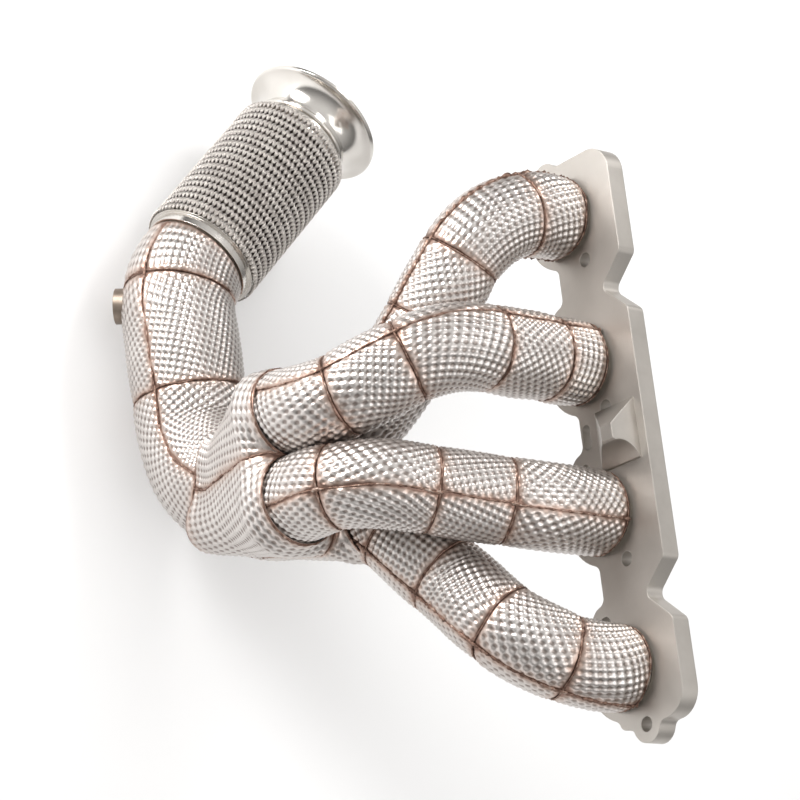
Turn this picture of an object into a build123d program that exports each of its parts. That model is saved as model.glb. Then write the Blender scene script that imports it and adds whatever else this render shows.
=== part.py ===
"""Insulated tubular exhaust manifold for one bank of a V8 engine.

Four runner tubes leave a flat cylinder-head flange, gather into a four-into-one
collector, and feed an elbowed outlet pipe with a braided flex joint and a V-band
flange. Every tube wears an insulating mat under embossed metal foil half shells.

Frame: origin on the mating face of the head flange, midway between ports 2 and 3.
+X runs along the port row towards the outlet, +Y leaves the cylinder head, +Z is up.
All dimensions are in millimetres.
"""
from build123d import *
import math
import os

# ---- head flange -------------------------------------------------------------
PORT_PITCH = 90.0
PORT_X = [PORT_PITCH * k for k in (1.5, 0.5, -0.5, -1.5)]
FLANGE_THICK = 12.0
FLANGE_TOP_Z = 42.0
FLANGE_LOW_Z = -9.0
FLANGE_END_X = 169.0
PORT_LOBE_R = 30.0
PORT_LIP = 2.0
BOLT_HOLE_R = 4.25
BOLT_BOSS_R = 11.0
FLANGE_END_FILLET = 16.0
NOTCH_OPEN_Z = 46.0
UPPER_BOLT = (-30.0, 13.5)
LOWER_BOLT = (28.0, -10.0)
EAR_BOLT = (-169.0, 11.0)
EAR_R = 10.5
NOTCH_DEPTH_Z = 23.0
NOTCH_HALF = 21.0
NOTCH_X = [84.0, -98.0]
DOWEL_SLOT = (2.0, -4.5)
DOWEL_SLOT_LENGTH = 15.0
DOWEL_SLOT_R = 3.2
CORNER_ROUND = 5.0

# ---- support lug on the flange ----------------------------------------------
LUG_BASE = (-4.0, 20.0, 36.0, 32.0)
LUG_TOP = (-8.0, 31.0, 9.0, 9.0)
LUG_HEIGHT = 20.0
LUG_SCOOP_R = 14.0

# ---- runner tubes, mats and foil --------------------------------------------
TUBE_R = 20.0
TUBE_WALL = 1.5
MAT_THICK = 3.0
FOIL_THICK = 1.0
MAT_R = TUBE_R + MAT_THICK
FOIL_R = MAT_R + FOIL_THICK
FOIL_START_Y = 15.0
BEND_R = 50.0
GATHER_BEND_R = 34.0

# ---- collector and outlet ----------------------------------------------------
PIPE_R = 30.0
PIPE_WALL = 1.5
PIPE_FOIL_R = PIPE_R + MAT_THICK + FOIL_THICK
CLUSTER_Y = 135.0
CLUSTER_HALF = 24.5
COLLECTOR_Z = -103.0
BEYOND_FRONT = 12.0
COLLECTOR_LENGTH = 70.0
COLLECTOR_HALF = 50.0
COLLECTOR_SQUARENESS = 4.4
COLLECTOR_TAPER_END = 0.9
FOIL_GAP = 0.5
FRONT_FOIL = 1.0
FRONT_MAT = 2.0
FRONT_PLATE = 3.0
ELBOW = (0.0, 135.0, -206.0)
NECK = (149.0, 140.0, -211.0)
OUTLET_FACE = (272.0, 33.0, -189.0)
ELBOW_BEND_R = 62.0
NECK_BEND_R = 56.0

# ---- flex joint, measured along its axis from the front of the braid ----------
FLEX_TO_FACE = 134.5
BRAID_LENGTH = 106.5
BRAID_R = 39.0
BRAID_BORE_R = 37.0
BRAID_RIBS = 18
BRAID_RIB_DEPTH = 0.9
COLLAR_LAND = 7.0
NECK_RING = 6.0
NECK_RING_R = 35.0
REAR_RING = 3.0
BELLOWS_CREST_R = 36.4
BELLOWS_ROOT_R = 31.6
BELLOWS_WALL = 0.6
BELLOWS_WAVES = 14
LINER_R = 30.0
LINER_WALL = 1.0
LINER_FRONT_END = 24.0
LINER_REAR_START = 84.0
HOOP_AT = [36.0, 65.0]
HOOP_WIDTH = 4.0
PIPE_END = 4.0

# ---- V-band outlet flange ----------------------------------------------------
RIM_R = 45.5
RIM_THICK = 3.5
TRUMPET_LENGTH = 15.0
BEAD_R = 33.5
LIP_R = 36.0
LIP_PROUD = 1.5
GROOVE_OUTER_R = 41.0
GROOVE_DEPTH = 1.5
VBAND_START = 112.0

# ---- sensor boss ---------------------------------------------------------------
BOSS_R = 11.0
BOSS_BORE_R = 8.25
BOSS_TOP = 38.5
BOSS_SIDE = (0.0, 0.7, -0.7)
BOSS_BEFORE_FLEX = 39.0


class Route:
    """A centreline of straight runs joined by tangent arcs."""

    def __init__(self, corners, radii):
        corners = [Vector(*c) for c in corners]
        self.pieces = []
        start = corners[0]
        for before, corner, after, radius in zip(corners, corners[1:], corners[2:], radii):
            into = (corner - before).normalized()
            out = (after - corner).normalized()
            turn = math.radians(into.get_angle(out))
            reach = radius * math.tan(turn / 2)
            arc_start = corner - into * reach
            self._add_line(start, arc_start)
            inward = (out - into * into.dot(out)).normalized()
            centre = arc_start + inward * radius
            self.pieces.append(("arc", radius * turn, centre, inward * -1, into, radius))
            start = corner + out * reach
        self._add_line(start, corners[-1])
        self.length = sum(piece[1] for piece in self.pieces)

    def _add_line(self, start, end):
        span = end - start
        self.pieces.append(("line", span.length, start, span.normalized()))

    @staticmethod
    def _on(piece, distance):
        """Point and tangent at a distance along one piece."""
        if piece[0] == "line":
            return piece[2] + piece[3] * distance, piece[3]
        centre, spoke, ahead, radius = piece[2:]
        angle = distance / radius
        point = centre + (spoke * math.cos(angle) + ahead * math.sin(angle)) * radius
        tangent = ahead * math.cos(angle) - spoke * math.sin(angle)
        return point, tangent

    def at(self, distance):
        """Point and tangent at a distance from the start of the route."""
        for piece in self.pieces:
            if distance <= piece[1] or piece is self.pieces[-1]:
                return self._on(piece, distance)
            distance -= piece[1]

    def carry(self, side, distance):
        """A sideways vector given at the start, carried along without twist."""
        for piece in self.pieces:
            step = min(distance, piece[1])
            if piece[0] == "arc" and step > 0:
                spoke, ahead, radius = piece[3:]
                side = side.rotate(Axis((0, 0, 0), spoke.cross(ahead)), math.degrees(step / radius))
            distance -= step
        return side

    def wire(self, start, end):
        """The stretch between two distances as a wire."""
        edges = []
        done = 0.0
        for piece in self.pieces:
            low = max(start - done, 0.0)
            high = min(end - done, piece[1])
            if high - low > 0.001:
                first, last = self._on(piece, low)[0], self._on(piece, high)[0]
                if piece[0] == "line":
                    edges.append(Edge.make_line(first, last))
                else:
                    middle = self._on(piece, (low + high) / 2)[0]
                    edges.append(Edge.make_three_point_arc(first, middle, last))
            done += piece[1]
        return Wire(edges)

    def distance_at_z(self, level):
        """Distance at which the falling route reaches a height."""
        low, high = 0.0, self.length
        for _ in range(40):
            middle = (low + high) / 2
            if self.at(middle)[0].Z > level:
                low = middle
            else:
                high = middle
        return low


def runner_route(number):
    """Centreline of one runner, numbered 1 to 4 from the outlet end."""
    x = PORT_X[number - 1]
    side = 1 if x > 0 else -1
    inner_y = CLUSTER_Y - CLUSTER_HALF
    outer_y = CLUSTER_Y + CLUSTER_HALF
    middle = {
        1: [(x, 69, 0), (46, 103, -60), (30, 107, -84)],
        2: [(x, 117, 0), (20, 161, -54), (27, 162, -95)],
        3: [(x, 61, 0), (-25, 158, -45), (-26, 162, -95)],
        4: [(x, 73, 0), (-82, 86, -46), (-28, 106.5, -88)],
    }[number]
    y = outer_y if number in (2, 3) else inner_y
    gather = (side * CLUSTER_HALF, y, -108)
    inside = (side * 10, CLUSTER_Y + math.copysign(10.5, y - CLUSTER_Y), -156)
    radii = [BEND_R + 5, BEND_R, GATHER_BEND_R, GATHER_BEND_R]
    return Route([(x, PORT_LIP, 0)] + middle + [gather, inside], radii)


RUNNERS = {number: runner_route(number) for number in (1, 2, 3, 4)}
OUTLET = Route([(0, CLUSTER_Y, COLLECTOR_Z), ELBOW, NECK, OUTLET_FACE], [ELBOW_BEND_R, NECK_BEND_R])
FLEX_FROM = OUTLET.length - FLEX_TO_FACE
# Distances of the ring seams between foil sections, and the direction of the lengthwise seam.
RUNNER_RINGS = {1: [43, 92, 134], 2: [38, 84, 134, 175], 3: [78, 121, 175], 4: [52, 92, 139, 180]}
RUNNER_SEAM = {1: (0.9, 0, 0.44), 2: (0.6, 0, 0.8), 3: (-0.4, 0, 0.92), 4: (-0.95, 0, 0.3)}
OUTLET_RINGS = [COLLECTOR_LENGTH, 155, 222]
OUTLET_SEAM = (0.25, 0.97, 0)


def section_plane(route, distance, side=None):
    """Plane square to a route, with its X axis along the carried side vector."""
    point, tangent = route.at(distance)
    if side is None:
        return Plane(origin=point, z_dir=tangent)
    return Plane(origin=point, x_dir=route.carry(Vector(*side), distance), z_dir=tangent)


def pipe(route, start, end, outer, inner=0.0):
    """A round bar or tube along a stretch of a route."""
    section = Circle(outer) - Circle(inner) if inner else Circle(outer)
    face = (section_plane(route, start) * section).faces()[0]
    return Solid.sweep(face, route.wire(start, end))


def half_shells(route, start, end, outer, inner, seam):
    """Two foil half shells that meet on a lengthwise seam."""
    shells = []
    for turn in (0, 180):
        half = (Circle(outer) - Circle(inner)) & Pos(0, outer) * Rectangle(4 * outer, 2 * outer)
        plane = section_plane(route, start, seam)
        face = (plane * Rot(0, 0, turn) * half).faces()[0]
        shells.append(Solid.sweep(face, route.wire(start, end)))
    return shells


def above(solid, level):
    """The part of a solid above a height."""
    reach = 400
    below = Pos(0, CLUSTER_Y, level - reach / 2) * Box(reach, reach, reach)
    return (solid - below).solids()[0]


def write(name, *solids):
    """Writes the solids of one node to its own STEP file."""
    shape = solids[0] if len(solids) == 1 else Compound(children=list(solids))
    export_step(shape, f"parts/{name}.step")


# ---- head flange ---------------------------------------------------------------
def bolt_centres():
    """Centres of the head bolts: one above and one below each port."""
    centres = [(x + UPPER_BOLT[0], UPPER_BOLT[1]) for x in PORT_X[:3]]
    centres += [(x + LOWER_BOLT[0], LOWER_BOLT[1]) for x in PORT_X]
    return centres + [EAR_BOLT]


def flange_outline():
    """Outline of the head flange, drawn with X across and Z up."""
    height = FLANGE_TOP_Z - FLANGE_LOW_Z
    bar = Pos(0, (FLANGE_TOP_Z + FLANGE_LOW_Z) / 2) * Rectangle(2 * FLANGE_END_X, height)
    ends = bar.vertices().filter_by(lambda v: v.Y > 0)
    outline = fillet(ends, FLANGE_END_FILLET)
    for x in NOTCH_X:
        right, left = (x + NOTCH_HALF, NOTCH_OPEN_Z), (x - NOTCH_HALF, NOTCH_OPEN_Z)
        outline -= make_face(Polyline((x, NOTCH_DEPTH_Z), right, left, close=True))
    for x in PORT_X:
        outline += Pos(x, 0) * Circle(PORT_LOBE_R)
    for x, z in bolt_centres()[3:7]:
        outline += Pos(x, z) * Circle(BOLT_BOSS_R)
    outline += Pos(*EAR_BOLT) * Circle(EAR_R)
    for step in (CORNER_ROUND, -2 * CORNER_ROUND, CORNER_ROUND):
        outline = offset(outline, step)
    return outline


def head_flange():
    """Flat plate with four stepped ports, bolt holes and a locating slot."""
    plate = extrude(Plane.XZ * flange_outline(), -FLANGE_THICK)
    holes = []
    for x in PORT_X:
        holes.append(Plane.XZ * Pos(x, 0, -FLANGE_THICK / 2) * Cylinder(TUBE_R - TUBE_WALL, FLANGE_THICK))
        seat = FLANGE_THICK - PORT_LIP
        holes.append(Plane.XZ * Pos(x, 0, -PORT_LIP - seat / 2) * Cylinder(TUBE_R, seat))
    for x, z in bolt_centres():
        holes.append(Plane.XZ * Pos(x, z, -FLANGE_THICK / 2) * Cylinder(BOLT_HOLE_R, FLANGE_THICK))
    slot = Plane.XZ * Pos(*DOWEL_SLOT) * SlotOverall(DOWEL_SLOT_LENGTH, 2 * DOWEL_SLOT_R)
    plate = plate - holes - extrude(slot, -FLANGE_THICK)
    return plate.solids()[0]


def flange_lug():
    """Tapered support lug welded to the tube side of the flange."""
    sections = []
    for (x, z, width, depth), y in ((LUG_BASE, FLANGE_THICK), (LUG_TOP, FLANGE_THICK + LUG_HEIGHT)):
        sections.append(Plane.XZ * Pos(x, z, -y) * Rectangle(width, depth))
    lug = loft(sections)
    scoop_x = LUG_BASE[0] - LUG_BASE[2] / 2 - LUG_SCOOP_R * 0.35
    scoop = Pos(scoop_x, FLANGE_THICK + LUG_SCOOP_R, LUG_BASE[1]) * Cylinder(LUG_SCOOP_R, 80)
    return (lug - scoop).solids()[0]


# ---- collector -------------------------------------------------------------------
def collector_body(first, inset):
    """Solid that shrinks from a rounded square round four tubes to a circle."""
    share_at = [0, 0.2, 0.4, 0.6, 0.8, 1.0]
    faces = []
    for share in share_at:
        distance = first + share * (COLLECTOR_LENGTH - first)
        fall = min(1.0, distance / COLLECTOR_LENGTH / COLLECTOR_TAPER_END)
        half = COLLECTOR_HALF + (PIPE_FOIL_R - COLLECTOR_HALF) * fall - inset
        power = COLLECTOR_SQUARENESS + (2 - COLLECTOR_SQUARENESS) * fall
        plane = section_plane(OUTLET, distance, (1, 0, 0))
        points = []
        for step in range(32):
            angle = 2 * math.pi * step / 32
            c, s = math.cos(angle), math.sin(angle)
            reach = half / (abs(c) ** power + abs(s) ** power) ** (1 / power)
            points.append(plane.from_local_coords((reach * c, reach * s, 0)))
        faces.append(Face(Wire(Edge.make_spline(points, periodic=True))))
    return Solid.make_loft([face.outer_wire() for face in faces])


def tube_tools(radius):
    """Bars along the runners, used to open holes for them."""
    tools = []
    for route in RUNNERS.values():
        start = route.distance_at_z(COLLECTOR_Z + BEYOND_FRONT)
        tools.append(pipe(route, start, route.distance_at_z(COLLECTOR_Z - BEYOND_FRONT), radius))
    return tools


def collector_layers():
    """Foil cover, insulating mat and steel collector, from the outside in."""
    steps = [0.0, FRONT_FOIL, FRONT_FOIL + FRONT_MAT, FRONT_FOIL + FRONT_MAT + FRONT_PLATE]
    insets = [0.0, FOIL_THICK, FOIL_THICK + MAT_THICK, FOIL_THICK + MAT_THICK + PIPE_WALL]
    bodies = [collector_body(first, inset) for first, inset in zip(steps, insets)]
    loose = tube_tools(TUBE_R + 0.2)
    tight = tube_tools(TUBE_R + 0.03)
    layers = []
    for outer, inner, tools in zip(bodies, bodies[1:], (loose, loose, tight)):
        layer = Part() + outer - inner - tools
        layers.append(layer.solids().sort_by(SortBy.VOLUME)[-1])
    return layers


# ---- flex joint and outlet flange, built round their own axis -----------------------
FLEX_PLANE = Plane(
    origin=OUTLET.at(FLEX_FROM)[0],
    x_dir=Vector(0, 0, 1).cross(OUTLET.at(FLEX_FROM)[1]),
    z_dir=OUTLET.at(FLEX_FROM)[1],
)


def turned(profile):
    """Revolves a profile of (radius, distance) about the flex joint's axis."""
    solid = revolve(Plane.XZ * profile, Axis.Z)
    return (FLEX_PLANE * solid).solids()[0]


def ring(inner, outer, start, end):
    """A plain turned ring."""
    return turned(Pos((inner + outer) / 2, (start + end) / 2) * Rectangle(outer - inner, end - start))


def stepped_collar(land, small_ring):
    """End collar: a land under the braid, and a smaller polished ring beside it."""
    low, high = sorted(land)
    middle = Pos((PIPE_R + BRAID_BORE_R) / 2, (low + high) / 2)
    shape = middle * Rectangle(BRAID_BORE_R - PIPE_R, high - low)
    low, high = sorted(small_ring)
    shape += Pos((PIPE_R + NECK_RING_R) / 2, (low + high) / 2) * Rectangle(NECK_RING_R - PIPE_R, high - low)
    return turned(shape)


def braid():
    """Braided wire sleeve: a tube with one rounded rib over each convolution."""
    pitch = BRAID_LENGTH / BRAID_RIBS
    valley = BRAID_R - BRAID_RIB_DEPTH
    edges = []
    for rib in range(BRAID_RIBS):
        low, high = rib * pitch, (rib + 1) * pitch
        edges.append(ThreePointArc((valley, low), (BRAID_R, (low + high) / 2), (valley, high)))
    far_corner = (BRAID_BORE_R, BRAID_LENGTH)
    edges.append(Polyline((valley, BRAID_LENGTH), far_corner, (BRAID_BORE_R, 0), (valley, 0)))
    return turned(make_face(edges))


def bellows_skin(crest_arc, root_arc, start, pitch):
    """One side of the bellows wall as a chain of arcs and radial lines."""
    edges = []
    for wave in range(BELLOWS_WAVES):
        low = start + wave * pitch
        crest = low + pitch / 2
        top = BELLOWS_CREST_R - pitch / 4
        bottom = BELLOWS_ROOT_R + pitch / 4
        left, right = crest - crest_arc, crest + crest_arc
        edges.append(Line((bottom, left), (top, left)))
        edges.append(ThreePointArc((top, left), (top + crest_arc, crest), (top, right)))
        edges.append(Line((top, right), (bottom, right)))
        if wave < BELLOWS_WAVES - 1:
            root = low + pitch
            edges.append(ThreePointArc((bottom, right), (bottom - root_arc, root), (bottom, root + root_arc)))
    return edges


def bellows():
    """Thin corrugated tube, closed at each end by a straight cuff."""
    start = COLLAR_LAND
    pitch = (BRAID_LENGTH - 2 * COLLAR_LAND) / BELLOWS_WAVES
    half = BELLOWS_WALL / 2
    outside = bellows_skin(pitch / 4 + half, pitch / 4 - half, start, pitch)
    inside = bellows_skin(pitch / 4 - half, pitch / 4 + half, start, pitch)
    bottom = BELLOWS_ROOT_R + pitch / 4
    first, last = start + pitch / 2, start + pitch * (BELLOWS_WAVES - 0.5)
    ends = [
        Line((bottom, first - pitch / 4 - half), (bottom, first - pitch / 4 + half)),
        Line((bottom, last + pitch / 4 - half), (bottom, last + pitch / 4 + half)),
    ]
    return turned(make_face(outside + inside + ends))


def vband_flange():
    """V-band outlet flange: bead, flared trumpet, rim, groove and sealing lip."""
    face = FLEX_TO_FACE
    rim_back = face - RIM_THICK
    bore = PIPE_R
    neck = bore + 1.5
    flare_start = rim_back - TRUMPET_LENGTH + 3
    outline = [
        Line((bore, VBAND_START), (neck, VBAND_START)),
        ThreePointArc((neck, VBAND_START), (BEAD_R, VBAND_START + 2), (neck, VBAND_START + 4)),
        Line((neck, VBAND_START + 4), (neck, flare_start)),
        ThreePointArc((neck, flare_start), (neck + 4.5, rim_back - 4.5), (RIM_R - 1, rim_back)),
        Line((RIM_R - 1, rim_back), (RIM_R, rim_back + 1)),
        Line((RIM_R, rim_back + 1), (RIM_R, face - 1)),
        Line((RIM_R, face - 1), (RIM_R - 1, face)),
        Line((RIM_R - 1, face), (GROOVE_OUTER_R, face)),
        Line((GROOVE_OUTER_R, face), (GROOVE_OUTER_R - GROOVE_DEPTH, face - GROOVE_DEPTH)),
        Line(
            (GROOVE_OUTER_R - GROOVE_DEPTH, face - GROOVE_DEPTH),
            (LIP_R + GROOVE_DEPTH, face - GROOVE_DEPTH),
        ),
        Line((LIP_R + GROOVE_DEPTH, face - GROOVE_DEPTH), (LIP_R, face + LIP_PROUD)),
        Line((LIP_R, face + LIP_PROUD), (LIP_R - 3, face + LIP_PROUD)),
        Line((LIP_R - 3, face + LIP_PROUD), (bore, face - 1)),
        Line((bore, face - 1), (bore, VBAND_START)),
    ]
    return turned(make_face(outline))


# ---- sensor boss -----------------------------------------------------------------
def boss_plane():
    """Plane on the pipe's axis whose Z axis points out along the sensor boss."""
    point, tangent = OUTLET.at(FLEX_FROM - BOSS_BEFORE_FLEX)
    side = Vector(*BOSS_SIDE)
    side = (side - tangent * tangent.dot(side)).normalized()
    return Plane(origin=point, x_dir=tangent, z_dir=side)


BOSS_PLANE = boss_plane()


def boss_bar(radius, top):
    """Bar that runs from the pipe's axis out along the boss."""
    return (BOSS_PLANE * Pos(0, 0, top / 2) * Cylinder(radius, top)).solids()[0]


def main():
    os.makedirs("parts", exist_ok=True)
    write("head_flange", head_flange())
    write("support_lug", flange_lug())

    tube_end_z = COLLECTOR_Z - FRONT_FOIL - FRONT_MAT - FRONT_PLATE / 2
    for number, route in RUNNERS.items():
        foil_start = FOIL_START_Y - PORT_LIP
        beyond = route.distance_at_z(COLLECTOR_Z - BEYOND_FRONT)
        tube = pipe(route, 0, beyond, TUBE_R, TUBE_R - TUBE_WALL)
        write(f"runner_tube_{number}", above(tube, tube_end_z))
        write(f"runner_mat_{number}", above(pipe(route, foil_start, beyond, MAT_R, TUBE_R), COLLECTOR_Z))
        stops = [foil_start] + RUNNER_RINGS[number] + [beyond]
        for letter, start, end in zip("abcde", stops, stops[1:]):
            shells = half_shells(route, start, end, FOIL_R, MAT_R, RUNNER_SEAM[number])
            write(f"runner_foil_{number}{letter}", *[above(shell, COLLECTOR_Z) for shell in shells])

    foil, mat, collector = collector_layers()
    write("collector_foil", foil)
    write("collector_mat", mat)
    write("collector", collector)

    boss_hole = boss_bar(BOSS_BORE_R, BOSS_TOP)
    boss_room = boss_bar(BOSS_R + 0.1, BOSS_TOP)
    insulation_end = FLEX_FROM - NECK_RING - FOIL_GAP
    core = pipe(OUTLET, COLLECTOR_LENGTH, FLEX_FROM + PIPE_END, PIPE_R)
    outlet_pipe = pipe(OUTLET, COLLECTOR_LENGTH, FLEX_FROM + PIPE_END, PIPE_R, PIPE_R - PIPE_WALL)
    write("outlet_pipe", outlet_pipe - boss_hole)
    mat = pipe(OUTLET, COLLECTOR_LENGTH, insulation_end, PIPE_R + MAT_THICK, PIPE_R)
    write("outlet_mat", mat - boss_room)
    stops = OUTLET_RINGS + [insulation_end]
    for letter, start, end in zip("abc", stops, stops[1:]):
        shells = half_shells(OUTLET, start, end, PIPE_FOIL_R, PIPE_R + MAT_THICK, OUTLET_SEAM)
        write(f"outlet_foil_{letter}", *[shell - boss_room for shell in shells])
    write("sensor_boss", (boss_bar(BOSS_R, BOSS_TOP) - core - boss_hole).solids()[0])

    write("flex_front_collar", stepped_collar((0, COLLAR_LAND), (-NECK_RING, 0)))
    write("flex_braid", braid())
    write("flex_bellows", bellows())
    write("liner_front_sleeve", ring(LINER_R - LINER_WALL, LINER_R, PIPE_END, LINER_FRONT_END))
    for name, at in zip(("liner_hoop_front", "liner_hoop_rear"), HOOP_AT):
        write(name, ring(LINER_R - LINER_WALL, LINER_R, at - HOOP_WIDTH / 2, at + HOOP_WIDTH / 2))
    rear_land = (BRAID_LENGTH - COLLAR_LAND, BRAID_LENGTH)
    stub_start = BRAID_LENGTH - COLLAR_LAND
    write("liner_rear_sleeve", ring(LINER_R - LINER_WALL, LINER_R, LINER_REAR_START, stub_start))
    write("flex_rear_collar", stepped_collar(rear_land, (BRAID_LENGTH, BRAID_LENGTH + REAR_RING)))
    write("outlet_stub", ring(PIPE_R - PIPE_WALL, PIPE_R, stub_start, FLEX_TO_FACE - 3))
    write("vband_flange", vband_flange())


main()
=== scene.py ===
"""Looks for the insulated exhaust manifold: embossed foil, woven braid, seams and metals.

Object sizes are in millimetres, in the CAD frame, and MM turns them into metres when a mesh
is made. Materials, lights, floor and camera are in metres. The centrelines repeat the
design's corners and bend radii, so each foil section is built on the route it wraps.
"""

import math

import bpy
import numpy as np
from mathutils import Matrix, Vector


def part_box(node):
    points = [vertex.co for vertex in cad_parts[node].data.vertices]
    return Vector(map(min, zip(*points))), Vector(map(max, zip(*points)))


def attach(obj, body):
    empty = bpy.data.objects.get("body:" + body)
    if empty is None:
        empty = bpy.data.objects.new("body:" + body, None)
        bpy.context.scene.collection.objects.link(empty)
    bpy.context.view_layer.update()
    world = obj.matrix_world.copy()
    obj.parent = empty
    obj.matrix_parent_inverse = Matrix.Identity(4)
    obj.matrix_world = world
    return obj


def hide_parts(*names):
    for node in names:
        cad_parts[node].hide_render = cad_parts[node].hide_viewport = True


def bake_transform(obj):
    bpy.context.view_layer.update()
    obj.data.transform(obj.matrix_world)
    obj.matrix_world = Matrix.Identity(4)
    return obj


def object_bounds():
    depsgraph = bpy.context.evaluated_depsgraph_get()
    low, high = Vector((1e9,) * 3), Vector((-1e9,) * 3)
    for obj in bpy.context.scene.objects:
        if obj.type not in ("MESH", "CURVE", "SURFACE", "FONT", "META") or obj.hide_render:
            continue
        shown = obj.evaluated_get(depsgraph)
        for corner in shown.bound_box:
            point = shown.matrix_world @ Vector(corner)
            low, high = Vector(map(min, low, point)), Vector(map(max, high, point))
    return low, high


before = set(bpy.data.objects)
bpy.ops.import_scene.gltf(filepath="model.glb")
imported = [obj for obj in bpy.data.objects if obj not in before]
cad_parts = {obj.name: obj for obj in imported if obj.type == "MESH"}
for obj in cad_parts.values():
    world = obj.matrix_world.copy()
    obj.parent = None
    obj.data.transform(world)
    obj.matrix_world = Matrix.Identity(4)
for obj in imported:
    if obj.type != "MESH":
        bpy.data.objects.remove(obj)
cad_low, cad_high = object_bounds()
MM = 0.001

# ---- routes and sections ---------------------------------------------------------
RUNNERS = {
    1: [(135, 2, 0), (135, 69, 0), (46, 103, -60), (30, 107, -84)],
    2: [(45, 2, 0), (45, 117, 0), (20, 161, -54), (27, 162, -95)],
    3: [(-45, 2, 0), (-45, 61, 0), (-25, 158, -45), (-26, 162, -95)],
    4: [(-135, 2, 0), (-135, 73, 0), (-82, 86, -46), (-28, 106.5, -88)],
}
GATHERED = {
    1: [(24.5, 110.5, -108), (10, 124.5, -156)],
    2: [(24.5, 159.5, -108), (10, 145.5, -156)],
    3: [(-24.5, 159.5, -108), (-10, 145.5, -156)],
    4: [(-24.5, 110.5, -108), (-10, 124.5, -156)],
}
RUNNER_BENDS = [55, 50, 34, 34]
OUTLET = [(0, 135, -103), (0, 135, -206), (149, 140, -211), (272, 33, -189)]
OUTLET_BENDS = [62, 56]
RUNNER_FOIL_R = 24.0
OUTLET_FOIL_R = 34.0
FOIL_START = 13.0
COLLECTOR_Z = -103.0
COLLECTOR_LENGTH = 70.0
COVER_HALF = 50.0
COVER_POWER = 4.4
COVER_MEAN_R = 44.0
CONE_SHARE = 0.9
COVER_PROUD = 0.9
LOBE_HEIGHT = 2.2
OUTLINE_POWER = 18
RUNNER_RINGS = {1: [43, 92, 134], 2: [38, 84, 134, 175], 3: [78, 121, 175], 4: [52, 92, 139, 180]}
RUNNER_SEAM = {1: (0.9, 0, 0.44), 2: (0.6, 0, 0.8), 3: (-0.4, 0, 0.92), 4: (-0.95, 0, 0.3)}
OUTLET_RINGS = [COLLECTOR_LENGTH, 155, 222]
OUTLET_SEAM = (0.25, 0.97, 0)
FLEX_TO_FACE = 134.5
BRAID_LENGTH = 106.5
NECK_RING = 6.0

# ---- foil relief -----------------------------------------------------------------
GRID = 0.75
WAFFLE = 2.9
RELIEF = 0.62
SEAM_FLAT = 2.6
RING_BEAD = 0.55
EDGE_BEADS = {1: 1.25, 4: 0.95}
KNOT_BEAD = 1.15
KNOT_REACH = 2.6
WELD_BEAD = 1.1
WELD_R = 21.0
WELD_AT = 11.0
SEAM_DIP = 0.5
FOIL_THICK = 0.95
EMBOSS_POWER = 0.75
DENT = 0.35
DENT_SCALE = 13.0
CORD_STEP = 1.1
JUNCTION_REACH = 3.6
PILLOW = 0.7

# ---- braid -------------------------------------------------------------------------
BRAID_RIBS = 19
STRANDS = 72
BRAID_CORE_R = 37.0
RIB_HEIGHT = 1.7
STRAND_THICK = 0.45
STRAND_WEAVE = 0.22
STRAND_HALF = 0.19
STRAND_SPREAD = 0.08
BRAID_END_GAP = 0.4
BELLOWS_R = 34.2
BELLOWS_WAVE = 1.9
BELLOWS_WAVES = 14
BELLOWS_END = 7
BELLOWS_WALL = 0.6
LINER_R = 30.2
LINER_GROOVE = 1.1
LINER_PITCH = 5.2
LINER_WALL = 1.2
LINER_START = 24
LINER_END = 84
OUTLET_WELD_AT = 111.0
OUTLET_WELD_R = 30.2
OUTLET_WELD_BEAD = 0.9
TUBE_SIDES = 96
TUBE_STEP = 0.4

# ---- foil skirt that closes the collector cover down onto the runners -----------------
SKIRT = 17.0
SKIRT_END_R = 27.0
SKIRT_TUBE_R = 26.3


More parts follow.
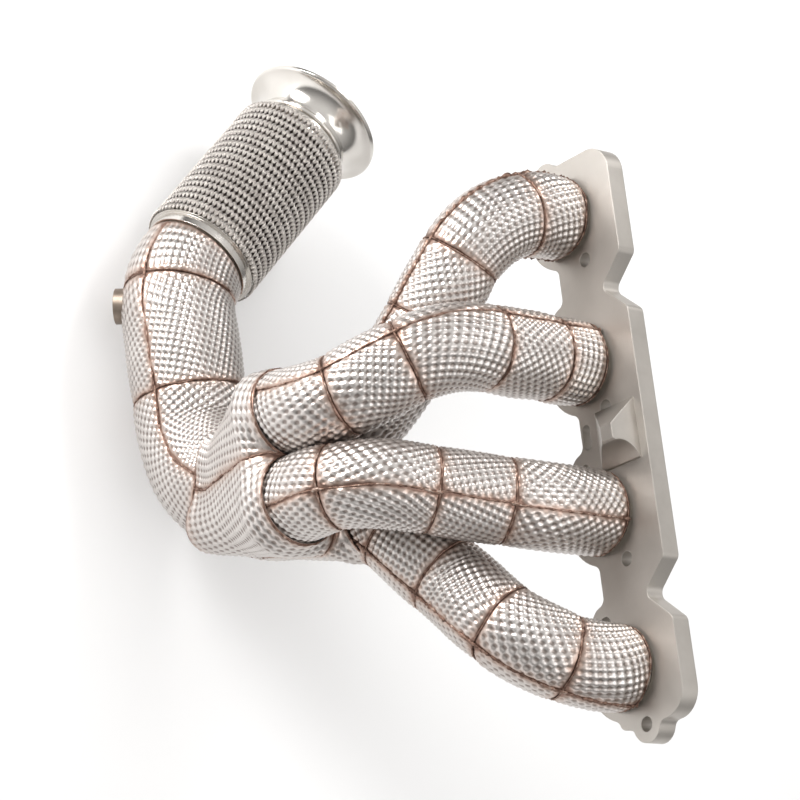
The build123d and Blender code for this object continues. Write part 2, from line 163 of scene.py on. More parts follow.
class Route:
    """Straight runs joined by tangent arcs, sampled at any distance in millimetres."""

    def __init__(self, corners, bends):
        corners = [np.array(c, float) for c in corners]
        self.pieces = []
        start = corners[0]
        for before, corner, after, radius in zip(corners, corners[1:], corners[2:], bends):
            into = unit(corner - before)
            out = unit(after - corner)
            turn = math.acos(float(into @ out))
            reach = radius * math.tan(turn / 2)
            arc_start = corner - into * reach
            self._line(start, arc_start)
            inward = unit(out - into * (into @ out))
            self.pieces.append(("arc", radius * turn, arc_start + inward * radius, -inward, into, radius))
            start = corner + out * reach
        self._line(start, corners[-1])
        self.length = sum(piece[1] for piece in self.pieces)

    def _line(self, start, end):
        span = float(np.linalg.norm(end - start))
        self.pieces.append(("line", span, start, (end - start) / span))

    def at(self, distance):
        """Point and tangent at one distance."""
        for piece in self.pieces:
            if distance <= piece[1] or piece is self.pieces[-1]:
                break
            distance -= piece[1]
        if piece[0] == "line":
            return piece[2] + piece[3] * distance, piece[3]
        centre, spoke, ahead, radius = piece[2:]
        c, s = math.cos(distance / radius), math.sin(distance / radius)
        return centre + (spoke * c + ahead * s) * radius, ahead * c - spoke * s

    def frames(self, distances, side):
        """Points, tangents and two sideways axes carried along without twist."""
        walk = np.arange(0.0, max(max(distances), 0.0) + 1.0, 0.5)
        side = np.array(side, float)
        carried = []
        for distance in walk:
            tangent = self.at(distance)[1]
            side = unit(side - tangent * (side @ tangent))
            carried.append(side)
        carried = np.array(carried)
        found = [self.at(distance) for distance in distances]
        points = np.array([f[0] for f in found])
        tangents = np.array([f[1] for f in found])
        sides = np.stack([np.interp(distances, walk, carried[:, k]) for k in range(3)], 1)
        sides -= tangents * np.sum(sides * tangents, 1)[:, None]
        sides /= np.linalg.norm(sides, axis=1)[:, None]
        return points, tangents, sides, np.cross(tangents, sides)

    def distance_at_z(self, level):
        """Distance at which the falling route reaches a height."""
        low, high = 0.0, self.length
        for _ in range(40):
            middle = (low + high) / 2
            low, high = (middle, high) if self.at(middle)[0][2] > level else (low, middle)
        return low


def unit(vector):
    """The same direction, one long."""
    return vector / np.linalg.norm(vector)


def smooth(low, high, value):
    """Eases from 0 at low to 1 at high."""
    share = np.clip((value - low) / (high - low), 0, 1)
    return share * share * (3 - 2 * share)


def wander(u, v, seed, scale):
    """Slow seeded noise made of a few sine waves, about -1 to 1."""
    waves = np.random.default_rng(seed)
    total = 0
    for _ in range(5):
        a, b, c = waves.normal(size=3)
        total = total + np.sin((a * u + b * v) / scale + 6 * c)
    return total / 2.5


def runner_route(number):
    """Centreline of one runner, from the flange into the collector."""
    return Route(RUNNERS[number] + GATHERED[number], RUNNER_BENDS)


# ---- mesh helpers ------------------------------------------------------------------
def mesh_object(name, verts, faces, attributes=None):
    """A mesh object from metre vertices and quad faces, facing outwards."""
    a, b, c, d = (verts[faces[:, k]] for k in range(4))
    volume = np.sum(np.cross(b - a, c - a) * a) + np.sum(np.cross(c - a, d - a) * a)
    if volume < 0:
        faces = faces[:, ::-1]
    mesh = bpy.data.meshes.new(name)
    mesh.vertices.add(len(verts))
    mesh.vertices.foreach_set("co", verts.astype(np.float32).ravel())
    mesh.loops.add(faces.size)
    mesh.loops.foreach_set("vertex_index", faces.astype(np.int32).ravel())
    mesh.polygons.add(len(faces))
    mesh.polygons.foreach_set("loop_start", np.arange(0, faces.size, 4, dtype=np.int32))
    mesh.polygons.foreach_set("use_smooth", np.ones(len(faces), bool))
    mesh.update(calc_edges=True)
    for key, values in (attributes or {}).items():
        layer = mesh.attributes.new(key, "FLOAT", "POINT")
        layer.data.foreach_set("value", np.asarray(values, np.float32).ravel())
    obj = bpy.data.objects.new(name, mesh)
    bpy.context.scene.collection.objects.link(obj)
    return obj


def ring_faces(rows, columns, wrap_rows=True):
    """Quads of a grid that closes round its columns, and round its rows if asked."""
    last = rows if wrap_rows else rows - 1
    i = np.arange(last)[:, None]
    j = np.arange(columns)[None]
    after_i, after_j = (i + 1) % rows, (j + 1) % columns
    quads = [i * columns + j, i * columns + after_j, after_i * columns + after_j, after_i * columns + j]
    return np.stack(quads, -1).reshape(-1, 4)


def closed_sleeve(name, outer, inner, attributes):
    """A thin closed shell from outer rows and fewer inner rows with the same columns."""
    rows = np.concatenate([outer, inner[::-1]])
    count, columns = rows.shape[:2]
    values = {}
    for key, field in attributes.items():
        values[key] = np.concatenate([field, np.zeros((len(inner), columns))])
    verts = rows.reshape(-1, 3) * MM
    return mesh_object(name, verts, ring_faces(count, columns), values)


def bead_path(points, radius, seed, closed, lumps=0.28):
    """A lumpy six-sided cord along points, as verts and faces."""
    sides = 6
    noise = np.random.default_rng(seed)
    count = len(points)
    if closed:
        ahead = np.roll(points, -1, 0) - np.roll(points, 1, 0)
    else:
        ahead = np.gradient(points, axis=0)
    ahead /= np.linalg.norm(ahead, axis=1)[:, None]
    helper = np.cross(ahead, np.array([0.31, 0.57, 0.76]))
    helper /= np.linalg.norm(helper, axis=1)[:, None]
    other = np.cross(ahead, helper)
    swell = radius * (1 + lumps * noise.normal(size=count).clip(-1.5, 1.8))
    if not closed:
        swell[0] = swell[-1] = radius * 0.15
    angles = np.arange(sides) * 2 * math.pi / sides
    c, s = np.cos(angles)[None, :, None], np.sin(angles)[None, :, None]
    spokes = c * helper[:, None] + s * other[:, None]
    verts = points[:, None] + spokes * swell[:, None, None]
    faces = ring_faces(count, sides, wrap_rows=closed)
    verts = verts.reshape(-1, 3)
    if not closed:
        caps = []
        for base in (0, (count - 1) * sides):
            caps += [[base, base + 1, base + 2, base + 3], [base, base + 3, base + 4, base + 5]]
        faces = np.concatenate([faces, np.array(caps)])
    return verts, faces


def cord_object(name, cords):
    """One piece from several cords."""
    verts, faces, base = [], [], 0
    for cord_verts, cord_faces in cords:
        verts.append(cord_verts)
        faces.append(cord_faces + base)
        base += len(cord_verts)
    return mesh_object(name, np.concatenate(verts) * MM, np.concatenate(faces))


# ---- foil sections -------------------------------------------------------------------
def waffle(u, v, turn):
    """Embossed relief of alternate raised and sunk squares, -1 to 1."""
    c, s = math.cos(turn), math.sin(turn)
    a = np.sin(math.pi * (u * c + v * s) / WAFFLE)
    b = np.sin(math.pi * (v * c - u * s) / WAFFLE)
    product = a * b
    return np.sign(product) * np.abs(product) ** EMBOSS_POWER


def section_relief(along, start, end, around, radius, turn, seed, seams):
    """Height of the foil above its radius, and the seam and relief fields."""
    u = along[:, None] + 0 * around[None]
    v = radius * around[None] + 0 * along[:, None]
    share = 2 * math.pi * radius / seams
    lengthwise = np.abs((v + share / 2) % share - share / 2)
    ring = np.minimum(u - start, end - u)
    wobble = 0.5 * wander(u, v, seed, 5.0)
    nearest = np.minimum(ring, lengthwise + wobble)
    free = smooth(0.6, SEAM_FLAT, nearest)
    second = (v // share) % 2
    relief = waffle(u, np.where(second > 0, -v, v), turn) * free
    pillow = PILLOW * np.sin(math.pi * np.clip((u - start) / (end - start), 0, 1)) ** 0.6
    dents = DENT * wander(u, v, seed + 50, DENT_SCALE)
    height = RELIEF * relief + pillow + dents * free - SEAM_DIP * (1 - smooth(0.0, 2.2, nearest))
    seam = np.exp(-np.maximum(nearest, 0) / 2.4)
    junction = np.exp(-(ring ** 2 + lengthwise ** 2) / JUNCTION_REACH ** 2)
    return height, seam + 0.9 * junction, relief


def foil_section(name, route, start, end, radius, side, turn, seed, surface=None, seams=2):
    """One embossed foil section between two ring seams."""
    rows = max(8, int((end - start) / GRID))
    columns = int(2 * math.pi * radius / GRID)
    along = np.linspace(start, end, rows)
    around = np.arange(columns) * 2 * math.pi / columns
    height, seam, relief = section_relief(along, start, end, around, radius, turn, seed, seams)
    base = np.full_like(height, radius) if surface is None else surface(along, around)
    outer = on_route(route, along, around, base + height, side)
    coarse = np.linspace(0, rows - 1, max(3, rows // 10)).astype(int)
    inner = on_route(route, along[coarse], around, base[coarse] - FOIL_THICK, side)
    piece = closed_sleeve(name, outer, inner, {"seam": seam, "relief": relief})
    paint(piece, FOIL)
    return piece


def on_route(route, along, around, radii, side):
    """Points at given radii round a route."""
    points, _, sides, ups = route.frames(along, side)
    spokes = np.cos(around)[None, :, None] * sides[:, None] + np.sin(around)[None, :, None] * ups[:, None]
    return points[:, None] + spokes * radii[..., None]


def ring_seam(route, distance, radius, side, seed, surface=None):
    """Closed lumpy cord on a ring seam."""
    count = int(2 * math.pi * radius / CORD_STEP)
    around = np.arange(count) * 2 * math.pi / count
    shift = 0.75 * wander(radius * np.cos(around), radius * np.sin(around), seed, 6.0)
    base = np.full((1, count), radius) if surface is None else surface(np.array([distance]), around)
    ring = on_route(route, np.array([distance]), around, base - 0.1, side)[0]
    ring += shift[:, None] * route.at(distance)[1]
    return bead_path(ring, RING_BEAD, seed, True)


def long_seam(route, start, end, radius, side, angle, seed, surface=None, bead=RING_BEAD):
    """Open lumpy cord along a lengthwise seam."""
    along = np.arange(start, end, CORD_STEP)
    around = np.array([angle])
    base = np.full((len(along), 1), radius) if surface is None else surface(along, around)
    line = on_route(route, along, around, base + 0.15, side)[:, 0]
    points, tangents = route.frames(along, side)[:2]
    sideways = np.cross(tangents, line - points)
    sideways /= np.linalg.norm(sideways, axis=1)[:, None]
    line += 0.6 * wander(along, 0 * along, seed, 7.0)[:, None] * sideways
    return bead_path(line, bead, seed, False, 0.45)


def knot(route, distance, radius, side, angle, seed):
    """Short thick lump where a lengthwise seam meets a ring seam."""
    along = distance + np.linspace(-KNOT_REACH, KNOT_REACH, 7)
    radii = np.full((7, 1), radius - 0.2)
    line = on_route(route, along, np.array([angle]), radii, side)[:, 0]
    return bead_path(line, KNOT_BEAD, seed, False, 0.2)


# ---- materials -----------------------------------------------------------------------
class Nodes:
    """Small helper that adds and links shader nodes."""

    def __init__(self, name):
        self.material = bpy.data.materials.new(name)
        self.material.use_nodes = True
        self.tree = self.material.node_tree
        self.surface = self.tree.nodes["Principled BSDF"]

    def add(self, kind, **values):
        """A node, with its settings or its inputs given by name."""
        node = self.tree.nodes.new(kind)
        for key, value in values.items():
            if hasattr(node, key):
                setattr(node, key, value)
            else:
                node.inputs[key.replace("_", " ")].default_value = value
        return node

    def link(self, source, target):
        self.tree.links.new(source, target)

    def noise(self, scale, detail, stretch=None):
        """Noise in object space, stretched along the axes if asked."""
        coords = self.add("ShaderNodeTexCoord")
        noise = self.add("ShaderNodeTexNoise", Scale=scale, Detail=detail)
        if stretch is None:
            self.link(coords.outputs["Object"], noise.inputs["Vector"])
        else:
            mapping = self.add("ShaderNodeMapping")
            mapping.inputs["Scale"].default_value = stretch
            self.link(coords.outputs["Object"], mapping.inputs["Vector"])
            self.link(mapping.outputs["Vector"], noise.inputs["Vector"])
        return noise.outputs["Fac"]

    def ramp(self, factor, stops):
        """Colour ramp with a list of places and colours."""
        node = self.add("ShaderNodeValToRGB")
        while len(node.color_ramp.elements) < len(stops):
            node.color_ramp.elements.new(0.5)
        for element, (place, colour) in zip(node.color_ramp.elements, stops):
            element.position = place
            element.color = (*colour, 1)
        self.link(factor, node.inputs["Fac"])
        return node.outputs["Color"]

    def grey(self, factor, low, high):
        """A factor of 0 to 1 spread over another range."""
        node = self.add("ShaderNodeMapRange")
        node.inputs["To Min"].default_value = low
        node.inputs["To Max"].default_value = high
        self.link(factor, node.inputs["Value"])
        return node.outputs["Result"]

    def mix(self, factor, first, second):
        """Colour between two, each a socket or a plain value."""
        node = self.add("ShaderNodeMix", data_type="RGBA")
        for source, socket in ((factor, 0), (first, 6), (second, 7)):
            if isinstance(source, bpy.types.NodeSocket):
                self.link(source, node.inputs[socket])
            elif socket == 0:
                node.inputs[socket].default_value = source
            else:
                node.inputs[socket].default_value = (*source, 1)
        return node.outputs[2]

    def math(self, operation, first, second=0.0):
        node = self.add("ShaderNodeMath", operation=operation)
        for source, socket in ((first, 0), (second, 1)):
            if isinstance(source, bpy.types.NodeSocket):
                self.link(source, node.inputs[socket])
            else:
                node.inputs[socket].default_value = source
        return node.outputs[0]

    def attribute(self, name):
        node = self.add("ShaderNodeAttribute")
        node.attribute_name = name
        return node.outputs["Fac"]

    def bump(self, height, strength, distance, normal=None):
        node = self.add("ShaderNodeBump")
        node.inputs["Strength"].default_value = strength
        node.inputs["Distance"].default_value = distance
        self.link(height, node.inputs["Height"])
        if normal is not None:
            self.link(normal, node.inputs["Normal"])
        return node.outputs["Normal"]

    def finish(self, colour, roughness, metallic, normal=None):
        """Connects the surface and returns the material."""
        for source, socket in ((colour, "Base Color"), (roughness, "Roughness"), (metallic, "Metallic")):
            if isinstance(source, bpy.types.NodeSocket):
                self.link(source, self.surface.inputs[socket])
            elif socket == "Base Color":
                self.surface.inputs[socket].default_value = (*source, 1)
            else:
                self.surface.inputs[socket].default_value = source
        if normal is not None:
            self.link(normal, self.surface.inputs["Normal"])
        return self.material


def foil_material():
    """Bright embossed foil: painted shade in the sunk squares, brown heat tint along seams."""
    n = Nodes("embossed_foil")
    seam = n.attribute("seam")
    relief = n.attribute("relief")
    blotch = n.noise(38, 5)
    fine = n.noise(420, 3)
    metal = n.ramp(blotch, [(0.3, (0.57, 0.53, 0.505)), (0.7, (0.71, 0.675, 0.65))])
    # painted shade: the sunk squares of the embossing are darkened towards dark brown
    sunk_shade = n.math("MINIMUM", n.math("MAXIMUM", n.math("MULTIPLY", relief, -1.5), 0.0), 1.0)
    pit_shaded = n.mix(n.math("MULTIPLY", sunk_shade, 0.8), metal, (0.20, 0.16, 0.14))
    patch = n.math("MULTIPLY", seam, n.grey(n.noise(160, 4), 0.35, 1.9))
    straw = n.mix(n.math("MINIMUM", patch, 0.75), pit_shaded, (0.56, 0.40, 0.32))
    tint = n.mix(n.math("MINIMUM", n.math("POWER", patch, 3.0), 0.9), straw, (0.22, 0.13, 0.10))
    rough = n.grey(fine, 0.26, 0.44)
    normal = n.bump(fine, 0.25, 0.0002)
    return n.finish(tint, rough, 0.93, normal)


def seam_material():
    """Heat-browned, lumpy stitched seam."""
    n = Nodes("seam_bead")
    lumps = n.noise(300, 4)
    brown, tan, straw = (0.10, 0.055, 0.04), (0.26, 0.16, 0.12), (0.50, 0.40, 0.34)
    colour = n.ramp(lumps, [(0.35, brown), (0.55, tan), (0.72, straw)])
    return n.finish(colour, n.grey(lumps, 0.65, 0.35), 0.7, n.bump(lumps, 0.7, 0.0004))


def braid_material():
    """Bundles of fine wire: the wires run along each strand."""
    n = Nodes("braid_wire")
    across = n.attribute("across")
    depth = n.attribute("depth")
    wires = n.math("ABSOLUTE", n.math("SINE", n.math("MULTIPLY", across, 3.5 * math.pi)))
    bright = n.ramp(n.noise(60, 4), [(0.3, (0.68, 0.63, 0.59)), (0.7, (0.88, 0.83, 0.78))])
    shaded = n.mix(n.math("MULTIPLY", depth, 0.8), bright, (0.11, 0.09, 0.075))
    gaps = n.mix(n.grey(wires, 0.6, 0.0), shaded, (0.20, 0.17, 0.15))
    return n.finish(gaps, n.grey(n.noise(500, 2), 0.24, 0.42), 0.95, n.bump(wires, 0.6, 0.00025))


def dark_bellows_material():
    """Bellows metal seen in shadow through the braid."""
    n = Nodes("bellows_metal")
    colour = n.ramp(n.noise(90, 4), [(0.3, (0.10, 0.085, 0.075)), (0.8, (0.20, 0.17, 0.15))])
    return n.finish(colour, 0.5, 0.8, n.bump(n.noise(700, 3), 0.2, 0.0002))


def flange_material():
    """Satin machined plate with a faint sanded grain and softly lit edges."""
    n = Nodes("satin_plate")
    cloud = n.noise(26, 6)
    grain = n.noise(240, 3, (1.0, 1.0, 14.0))
    colour = n.ramp(cloud, [(0.25, (0.44, 0.41, 0.375)), (0.75, (0.56, 0.525, 0.485))])
    colour = n.mix(n.math("MULTIPLY", grain, 0.22), colour, (0.68, 0.645, 0.60))
    edge = n.add("ShaderNodeBevel", samples=4)
    edge.inputs["Radius"].default_value = 0.0009
    normal = n.bump(grain, 0.12, 0.0002, edge.outputs["Normal"])
    return n.finish(colour, n.grey(cloud, 0.36, 0.5), 0.85, normal)


def polished_material():
    """Polished stainless with fine turning marks."""
    n = Nodes("polished_steel")
    cloud = n.noise(30, 4)
    colour = n.ramp(cloud, [(0.3, (0.62, 0.59, 0.55)), (0.75, (0.78, 0.75, 0.71))])
    marks = n.noise(900, 2)
    edge = n.add("ShaderNodeBevel", samples=4)
    edge.inputs["Radius"].default_value = 0.0006
    normal = n.bump(marks, 0.05, 0.0001, edge.outputs["Normal"])
    return n.finish(colour, n.grey(marks, 0.12, 0.24), 1.0, normal)


def tube_material():
    """Plain drawn tube with straw heat tint."""
    n = Nodes("drawn_tube")
    cloud = n.noise(45, 5)
    dark, plain, straw = (0.40, 0.36, 0.32), (0.52, 0.48, 0.43), (0.60, 0.50, 0.40)
    colour = n.ramp(cloud, [(0.3, dark), (0.55, plain), (0.8, straw)])
    return n.finish(colour, n.grey(cloud, 0.3, 0.48), 0.95, n.bump(n.noise(600, 3), 0.12, 0.0002))


def fibre_material():
    """Needled ceramic fibre mat."""
    n = Nodes("ceramic_fibre")
    strands = n.noise(520, 8, (1.0, 3.0, 1.0))
    colour = n.ramp(strands, [(0.3, (0.70, 0.67, 0.60)), (0.7, (0.88, 0.86, 0.80))])
    return n.finish(colour, 0.95, 0.0, n.bump(strands, 0.8, 0.0006))


def boss_material():
    """Machined boss, darkened by the weld."""
    n = Nodes("machined_boss")
    cloud = n.noise(90, 4)
    colour = n.ramp(cloud, [(0.3, (0.17, 0.13, 0.10)), (0.75, (0.36, 0.30, 0.25))])
    edge = n.add("ShaderNodeBevel", samples=4)
    edge.inputs["Radius"].default_value = 0.0006
    normal = n.bump(cloud, 0.2, 0.0003, edge.outputs["Normal"])
    return n.finish(colour, n.grey(cloud, 0.35, 0.5), 0.9, normal)


def floor_material():
    """Plain, very pale floor."""
    n = Nodes("pale_floor")
    colour = n.ramp(n.noise(3, 2), [(0.3, (0.93, 0.93, 0.93)), (0.7, (0.95, 0.95, 0.95))])
    return n.finish(colour, 0.9, 0.0)


FOIL = foil_material()
SEAM = seam_material()
BRAID = braid_material()
BELLOWS = dark_bellows_material()
PLATE = flange_material()
POLISHED = polished_material()
TUBE = tube_material()
FIBRE = fibre_material()
BOSS = boss_material()


def paint(obj, material):
    """Gives an object one material."""
    obj.data.materials.clear()
    obj.data.materials.append(material)


def paint_cad_nodes():
    """Gives every carried-over CAD node its finish."""
    for name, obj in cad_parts.items():
        material = TUBE
        if name in ("head_flange", "support_lug"):
            material = PLATE
        elif "foil" in name:
            material = FOIL
        elif "_mat" in name:
            material = FIBRE
        elif name == "sensor_boss":
            material = BOSS
        elif name in ("vband_flange", "flex_front_collar", "flex_rear_collar", "outlet_stub"):
            material = POLISHED
        paint(obj, material)


# ---- building the foil -----------------------------------------------------------------
TURNS = [0.25, -0.45, 0.7, -0.15, 0.5]


def runner_foils():
    """Embossed sections and seams of the four runners."""
    for number, side in RUNNER_SEAM.items():
        route = runner_route(number)
        stops = [FOIL_START] + RUNNER_RINGS[number] + [route.distance_at_z(COLLECTOR_Z + 0.5)]
        cords = []
        for k, (start, end) in enumerate(zip(stops, stops[1:])):
            node = f"runner_foil_{number}{'abcde'[k]}"
            turn = TURNS[(k + number) % len(TURNS)]
            seed = 100 * number + 10 * k
            piece = foil_section(f"{node}_skin", route, start, end, RUNNER_FOIL_R, side, turn, seed)
            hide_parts(node)
            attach(piece, "manifold")
            radius = RUNNER_FOIL_R
            cords.append(ring_seam(route, start + 0.2, radius, side, seed))
            bead = EDGE_BEADS.get(number, RING_BEAD)
            for angle in (0, math.pi):
                cords.append(long_seam(route, start, end, radius, side, angle, seed + 3, None, bead))
                cords.append(knot(route, start + 0.5, radius, side, angle, seed + 5))
        seams = cord_object(f"runner_seams_{number}", cords)
        paint(seams, SEAM)
        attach(seams, "manifold")


def runners_outline(drop, around):
    """Reach of the four runners round the collector's axis, this far past its front."""
    level = COLLECTOR_Z - drop
    reach = np.zeros_like(around)
    for number in RUNNERS:
        route = runner_route(number)
        centre = route.at(route.distance_at_z(level))[0][:2] - np.array(OUTLET[0][:2])
        ahead = centre[0] * np.cos(around) - centre[1] * np.sin(around)
        aside = centre[0] * np.sin(around) + centre[1] * np.cos(around)
        hit = ahead + np.sqrt(np.maximum(SKIRT_TUBE_R ** 2 - aside ** 2, 0))
        reach = np.maximum(reach, np.where(np.abs(aside) < SKIRT_TUBE_R, hit, 0))
    return reach


def port_welds():
    """Weld fillets where the tubes meet the flange."""
    cords = []
    count = 110
    for number in RUNNERS:
        route = runner_route(number)
        around = np.arange(count) * 2 * math.pi / count
        radii = np.full((1, count), WELD_R)
        ring = on_route(route, np.array([WELD_AT]), around, radii, (1, 0, 0))[0]
        cords.append(bead_path(ring, WELD_BEAD, 800 + number, True, 0.12))
    welds = cord_object("port_welds", cords)
    paint(welds, TUBE)
    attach(welds, "manifold")


def collector_surface(along, around):
    """Radius of the collector cover: a skirt round the runners, then a lobed cone to a circle."""
    fall = np.clip(along / COLLECTOR_LENGTH / CONE_SHARE, 0, 1)[:, None]
    half = COVER_HALF + (OUTLET_FOIL_R - COVER_HALF) * fall
    power = COVER_POWER + (2 - COVER_POWER) * fall
    c, s = np.abs(np.cos(around))[None], np.abs(np.sin(around))[None]
    reach = half / (c ** power + s ** power) ** (1 / power)
    lobes = np.abs(np.sin(2 * around))[None] ** 1.2
    cone = reach + COVER_PROUD * (1 - fall) + LOBE_HEIGHT * (1 - fall) ** 0.8 * lobes
    drape = np.clip(-along / SKIRT, 0, 1)[:, None]
    cone = SKIRT_END_R + (cone - SKIRT_END_R) * np.sqrt(1 - drape ** 2)
    runners = np.array([runners_outline(min(drop, 0), around) for drop in along])
    runners *= 1 - 0.3 * smooth(0, 16, along)[:, None]
    return (cone ** OUTLINE_POWER + runners ** OUTLINE_POWER) ** (1 / OUTLINE_POWER)


def outlet_foils():
    """Embossed collector cover, outlet sections and their seams."""
    route = Route(OUTLET, OUTLET_BENDS)
    flex_from = route.length - FLEX_TO_FACE
    mean_r = COVER_MEAN_R
    ahead = (1, 0, 0)
    cover = foil_section("collector_cover", route, -SKIRT, COLLECTOR_LENGTH, mean_r, ahead, 0.6, 901,
                         collector_surface, 4)
    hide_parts("collector_foil")
    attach(cover, "manifold")
    cords = [ring_seam(route, 0.4 - SKIRT, mean_r, ahead, 911, collector_surface)]
    for k in range(4):
        angle = k * math.pi / 2
        cords.append(long_seam(route, 0.5 - SKIRT, COLLECTOR_LENGTH, mean_r, ahead, angle, 920 + k,
                               collector_surface))
    stops = OUTLET_RINGS + [flex_from - NECK_RING - 0.5]
    for k, (start, end) in enumerate(zip(stops, stops[1:])):
        node = f"outlet_foil_{'abc'[k]}"
        piece = foil_section(f"{node}_skin", route, start, end, OUTLET_FOIL_R, OUTLET_SEAM, TURNS[k],
                             940 + 10 * k)
        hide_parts(node)
        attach(piece, "manifold")
        cords.append(ring_seam(route, start + 0.2, OUTLET_FOIL_R, OUTLET_SEAM, 945 + k))
        for angle in (0, math.pi):
            cords.append(long_seam(route, start, end, OUTLET_FOIL_R, OUTLET_SEAM, angle, 950 + k))
            cords.append(knot(route, start, OUTLET_FOIL_R, OUTLET_SEAM, angle, 955 + k))
    seams = cord_object("outlet_seams", cords)
    paint(seams, SEAM)
    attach(seams, "manifold")
    return route, flex_from


# ---- flex joint ------------------------------------------------------------------------
class Axis:
    """The flex joint's own frame: distance along it, and angle round it."""

    def __init__(self, route, start):
        self.origin, self.ahead = route.at(start)
        self.side = unit(np.cross(self.ahead, np.array([0.0, 0.0, 1.0])))
        self.up = np.cross(self.ahead, self.side)

    def place(self, along, around, radius):
        spoke = np.cos(around)[..., None] * self.side + np.sin(around)[..., None] * self.up
        return self.origin + along[..., None] * self.ahead + spoke * radius[..., None]

    def point(self, along):
        return tuple((self.origin + self.ahead * along) * MM)


SPANS = [
    ("manifold", "flex_slider", 9.0, 36.0),
    ("flex_slider", "flex_knuckle", 36.0, 65.0),
    ("flex_knuckle", "outlet", 65.0, 97.5),
]


def span_limits(k, low, high):
    """Stretch of the flex joint that one span's pieces cover."""
    first = low if k == 0 else SPANS[k][2]
    last = high if k == len(SPANS) - 1 else SPANS[k][3]
    return first, last


def blended(piece, k, axis):
    """Bakes a piece's placement into its mesh."""
    parent, child, start, end = SPANS[k]
    axis.point(start)
    axis.point(end)
    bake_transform(piece)


def rib_height(along):
    """Rounded ribs of the sleeve, 0 in a valley and 1 on a crest."""
    phase = (along / BRAID_LENGTH * BRAID_RIBS) % 1.0
    return np.sqrt(np.maximum(0.0, np.sin(math.pi * phase)))


def strand(axis, index, hand, low, high):
    """One flat bundle of wires: strands cross in each valley and lie side by side on a rib."""
    row = BRAID_LENGTH / BRAID_RIBS
    along = np.linspace(low, high, int((high - low) / row * 8) + 1)
    across = np.array([-1.0, -0.62, 0.0, 0.62, 1.0, 0.62, 0.0, -0.62])
    top = np.array([0.0, 0.8, 1.0, 0.8, 0.0, -0.8, -1.0, -0.8])
    spacing = 2 * math.pi / STRANDS
    centre = spacing * (index + hand * along / row / 2)
    crest = rib_height(along)
    weave = STRAND_WEAVE * hand * np.cos(math.pi * along / row)
    half_width = spacing * (STRAND_HALF + STRAND_SPREAD * crest)
    radius = BRAID_CORE_R + RIB_HEIGHT * crest + weave
    lift = 0.5 * STRAND_THICK * top[None] - 0.12 * np.abs(across)[None] ** 2
    angles = centre[:, None] + across[None] * half_width[:, None]
    verts = axis.place(along[:, None] + 0 * angles, angles, radius[:, None] + lift)
    sides = len(across)
    faces = ring_faces(len(along), sides, wrap_rows=False)
    caps = []
    for base in (0, (len(along) - 1) * sides):
        for k in (0, 1, 2):
            caps.append([base + k, base + k + 1, base + 6 - k, base + (7 - k) % 8])
    depth = np.clip(1.0 - crest, 0, 1)[:, None] + 0 * angles
    attributes = {"across": np.broadcast_to(across, angles.shape), "depth": depth}
    return verts.reshape(-1, 3), np.concatenate([faces, np.array(caps)]), attributes


def braid_piece(axis, k):
    """Woven sleeve over one span of the flex joint."""
    low, high = span_limits(k, BRAID_END_GAP, BRAID_LENGTH - BRAID_END_GAP)
    verts, faces, values, base = [], [], {"across": [], "depth": []}, 0
    for hand in (1, -1):
        for index in range(STRANDS):
            strand_verts, strand_faces, fields = strand(axis, index, hand, low, high)
            verts.append(strand_verts)
            faces.append(strand_faces + base)
            base += len(strand_verts)
            for key in values:
                values[key].append(fields[key].ravel())
    values = {key: np.concatenate(parts) for key, parts in values.items()}
    verts, faces = np.concatenate(verts) * MM, np.concatenate(faces)
    piece = mesh_object(f"flex_braid_{'abc'[k]}", verts, faces, values)
    paint(piece, BRAID)
    if k == 0:
        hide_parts("flex_braid")
    blended(piece, k, axis)


def tube_piece(name, axis, k, low, high, outer, thick, material, node=None):
    """A wavy closed tube over one span, with its outer radius given by a function."""
    low, high = span_limits(k, low, high)
    along = np.arange(low, high + TUBE_STEP / 2, (high - low) / round((high - low) / TUBE_STEP))
    around = np.arange(TUBE_SIDES) * 2 * math.pi / TUBE_SIDES
    grid_along = along[:, None] + 0 * around[None]
    grid_around = around[None] + 0 * along[:, None]
    radius = outer(along)[:, None] + 0 * around[None]
    outside = axis.place(grid_along, grid_around, radius)
    inside = axis.place(grid_along, grid_around, radius - thick)
    rows = np.concatenate([outside, inside[::-1]])
    piece = mesh_object(name, rows.reshape(-1, 3) * MM, ring_faces(len(rows), TUBE_SIDES))
    paint(piece, material)
    if node:
        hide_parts(node)
    blended(piece, k, axis)


def outlet_weld(axis):
    """Weld between the outlet stub and the V-band flange."""
    count = 150
    around = np.arange(count) * 2 * math.pi / count
    ring = axis.place(np.full(count, OUTLET_WELD_AT), around, np.full(count, OUTLET_WELD_R))
    weld = cord_object("outlet_weld", [bead_path(ring, OUTLET_WELD_BEAD, 860, True, 0.12)])
    paint(weld, TUBE)
    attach(weld, "outlet")


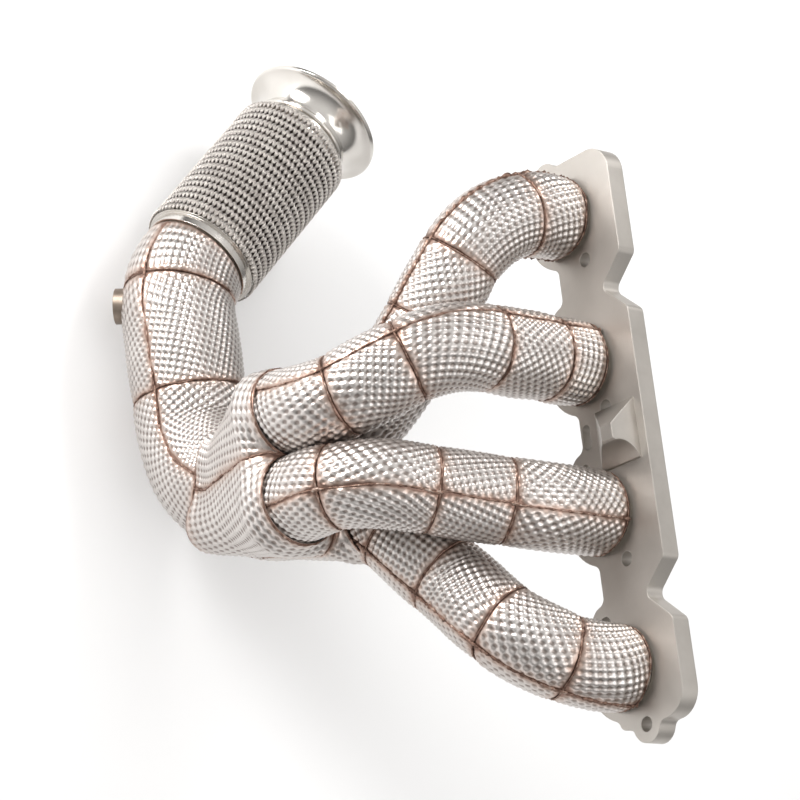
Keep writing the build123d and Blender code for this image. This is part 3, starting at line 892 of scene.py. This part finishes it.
def flex_joint(route, flex_from):
    """Braid, bellows and interlock liner, each in three spans."""
    axis = Axis(route, flex_from)
    waves = BELLOWS_WAVES / (BRAID_LENGTH - 2 * BELLOWS_END)

    def bellows_radius(along):
        return BELLOWS_R + BELLOWS_WAVE * np.cos(2 * math.pi * (along - BELLOWS_END) * waves)

    def liner_radius(along):
        phase = (along / LINER_PITCH) % 1.0
        return LINER_R - LINER_GROOVE * smooth(0.72, 0.8, phase) * (1 - smooth(0.92, 1.0, phase))

    for k in range(len(SPANS)):
        letter = "abc"[k]
        braid_piece(axis, k)
        bellows_node = "flex_bellows" if k == 0 else None
        tube_piece(f"flex_bellows_{letter}", axis, k, BELLOWS_END, BRAID_LENGTH - BELLOWS_END,
                   bellows_radius, BELLOWS_WALL, BELLOWS, bellows_node)
        hoop = {0: "liner_hoop_front", 2: "liner_hoop_rear"}.get(k)
        tube_piece(f"flex_liner_{letter}", axis, k, LINER_START, LINER_END, liner_radius,
                   LINER_WALL, TUBE, hoop)
    outlet_weld(axis)


# ---- stage -----------------------------------------------------------------------------
FLOOR_HALF = 6.0
FLOOR_GAP = 0.012
VIEW_BACK = Vector((-0.29, 0.68, 0.67)).normalized()
VIEW_UP = Vector((0.95, 0.11, 0.30))
CAMERA_DISTANCE = 1.664
VIEW_CENTRE = Vector((0, 0.012, 0))
FILL = 0.90


def camera():
    """Camera on a fixed line of sight, aimed and zoomed to frame the whole object."""
    data = bpy.data.cameras.new("camera")
    cam = bpy.data.objects.new("camera", data)
    bpy.context.scene.collection.objects.link(cam)
    cam.location = VIEW_CENTRE + VIEW_BACK * CAMERA_DISTANCE
    corners = []
    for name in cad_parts:
        low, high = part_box(name)
        corners.append((low + high) / 2)
        for x in (low.x, high.x):
            corners += [Vector((x, y, z)) for y in (low.y, high.y) for z in (low.z, high.z)]
    target = (cad_low + cad_high) / 2
    for _ in range(3):
        back = (cam.location - target).normalized()
        right = VIEW_UP.cross(back).normalized()
        up = back.cross(right)
        rays = [corner - cam.location for corner in corners]
        flat = [(ray.dot(right), ray.dot(up), -ray.dot(back)) for ray in rays]
        xs = [x / z for x, _, z in flat]
        ys = [y / z for _, y, z in flat]
        middle_x, middle_y = (min(xs) + max(xs)) / 2, (min(ys) + max(ys)) / 2
        reach = (cam.location - target).length
        target = target + (right * middle_x + up * middle_y) * reach
    spread = max(max(xs) - min(xs), max(ys) - min(ys))
    data.sensor_width = 36
    data.lens = data.sensor_width * FILL / spread
    cam.rotation_mode = "QUATERNION"
    cam.rotation_quaternion = Matrix((right, up, back)).transposed().to_quaternion()
    bpy.context.scene.camera = cam


def lamp(name, place, size, power, target):
    """A soft square light aimed at a point."""
    data = bpy.data.lights.new(name, "AREA")
    data.shape = "SQUARE"
    data.size = size
    data.energy = power
    light = bpy.data.objects.new(name, data)
    bpy.context.scene.collection.objects.link(light)
    light.location = place
    light.rotation_mode = "QUATERNION"
    light.rotation_quaternion = (target - place).to_track_quat("-Z", "Y")


def stage():
    """Pale floor, soft lights and a world that brightens towards the top."""
    centre = (cad_low + cad_high) / 2
    back = VIEW_BACK
    right = VIEW_UP.cross(back).normalized()
    up = back.cross(right)
    lamp("key", centre + (back * 0.7 + up * 0.9 - right * 0.6), 0.6, 17, centre)
    lamp("fill", centre + (back * 0.9 + right * 1.1 - up * 0.3), 1.0, 5, centre)
    lamp("rim", centre + (up * 1.0 + right * 0.7 - back * 0.2 + Vector((0, 0, 0.4))), 0.4, 6, centre)
    floor_z = cad_low.z - FLOOR_GAP
    square = [(-1, -1), (1, -1), (1, 1), (-1, 1)]
    verts = np.array([(x * FLOOR_HALF, y * FLOOR_HALF, floor_z) for x, y in square])
    floor = mesh_object("floor", verts, np.array([[0, 1, 2, 3]]))
    paint(floor, floor_material())
    world = bpy.data.worlds.new("studio")
    bpy.context.scene.world = world
    world.use_nodes = True
    tree = world.node_tree
    coords = tree.nodes.new("ShaderNodeTexCoord")
    split = tree.nodes.new("ShaderNodeSeparateXYZ")
    ramp = tree.nodes.new("ShaderNodeValToRGB")
    ramp.color_ramp.elements[0].position = 0.05
    ramp.color_ramp.elements[0].color = (0.20, 0.195, 0.19, 1)
    ramp.color_ramp.elements[1].position = 0.8
    ramp.color_ramp.elements[1].color = (1.0, 0.99, 0.98, 1)
    tree.links.new(coords.outputs["Generated"], split.inputs["Vector"])
    tree.links.new(split.outputs["Z"], ramp.inputs["Fac"])
    tree.links.new(ramp.outputs["Color"], tree.nodes["Background"].inputs["Color"])
    tree.nodes["Background"].inputs["Strength"].default_value = 0.8
    bpy.context.scene.view_settings.view_transform = "Standard"


paint_cad_nodes()
runner_foils()
port_welds()
outlet_route, outlet_flex_from = outlet_foils()
flex_joint(outlet_route, outlet_flex_from)
stage()
camera()
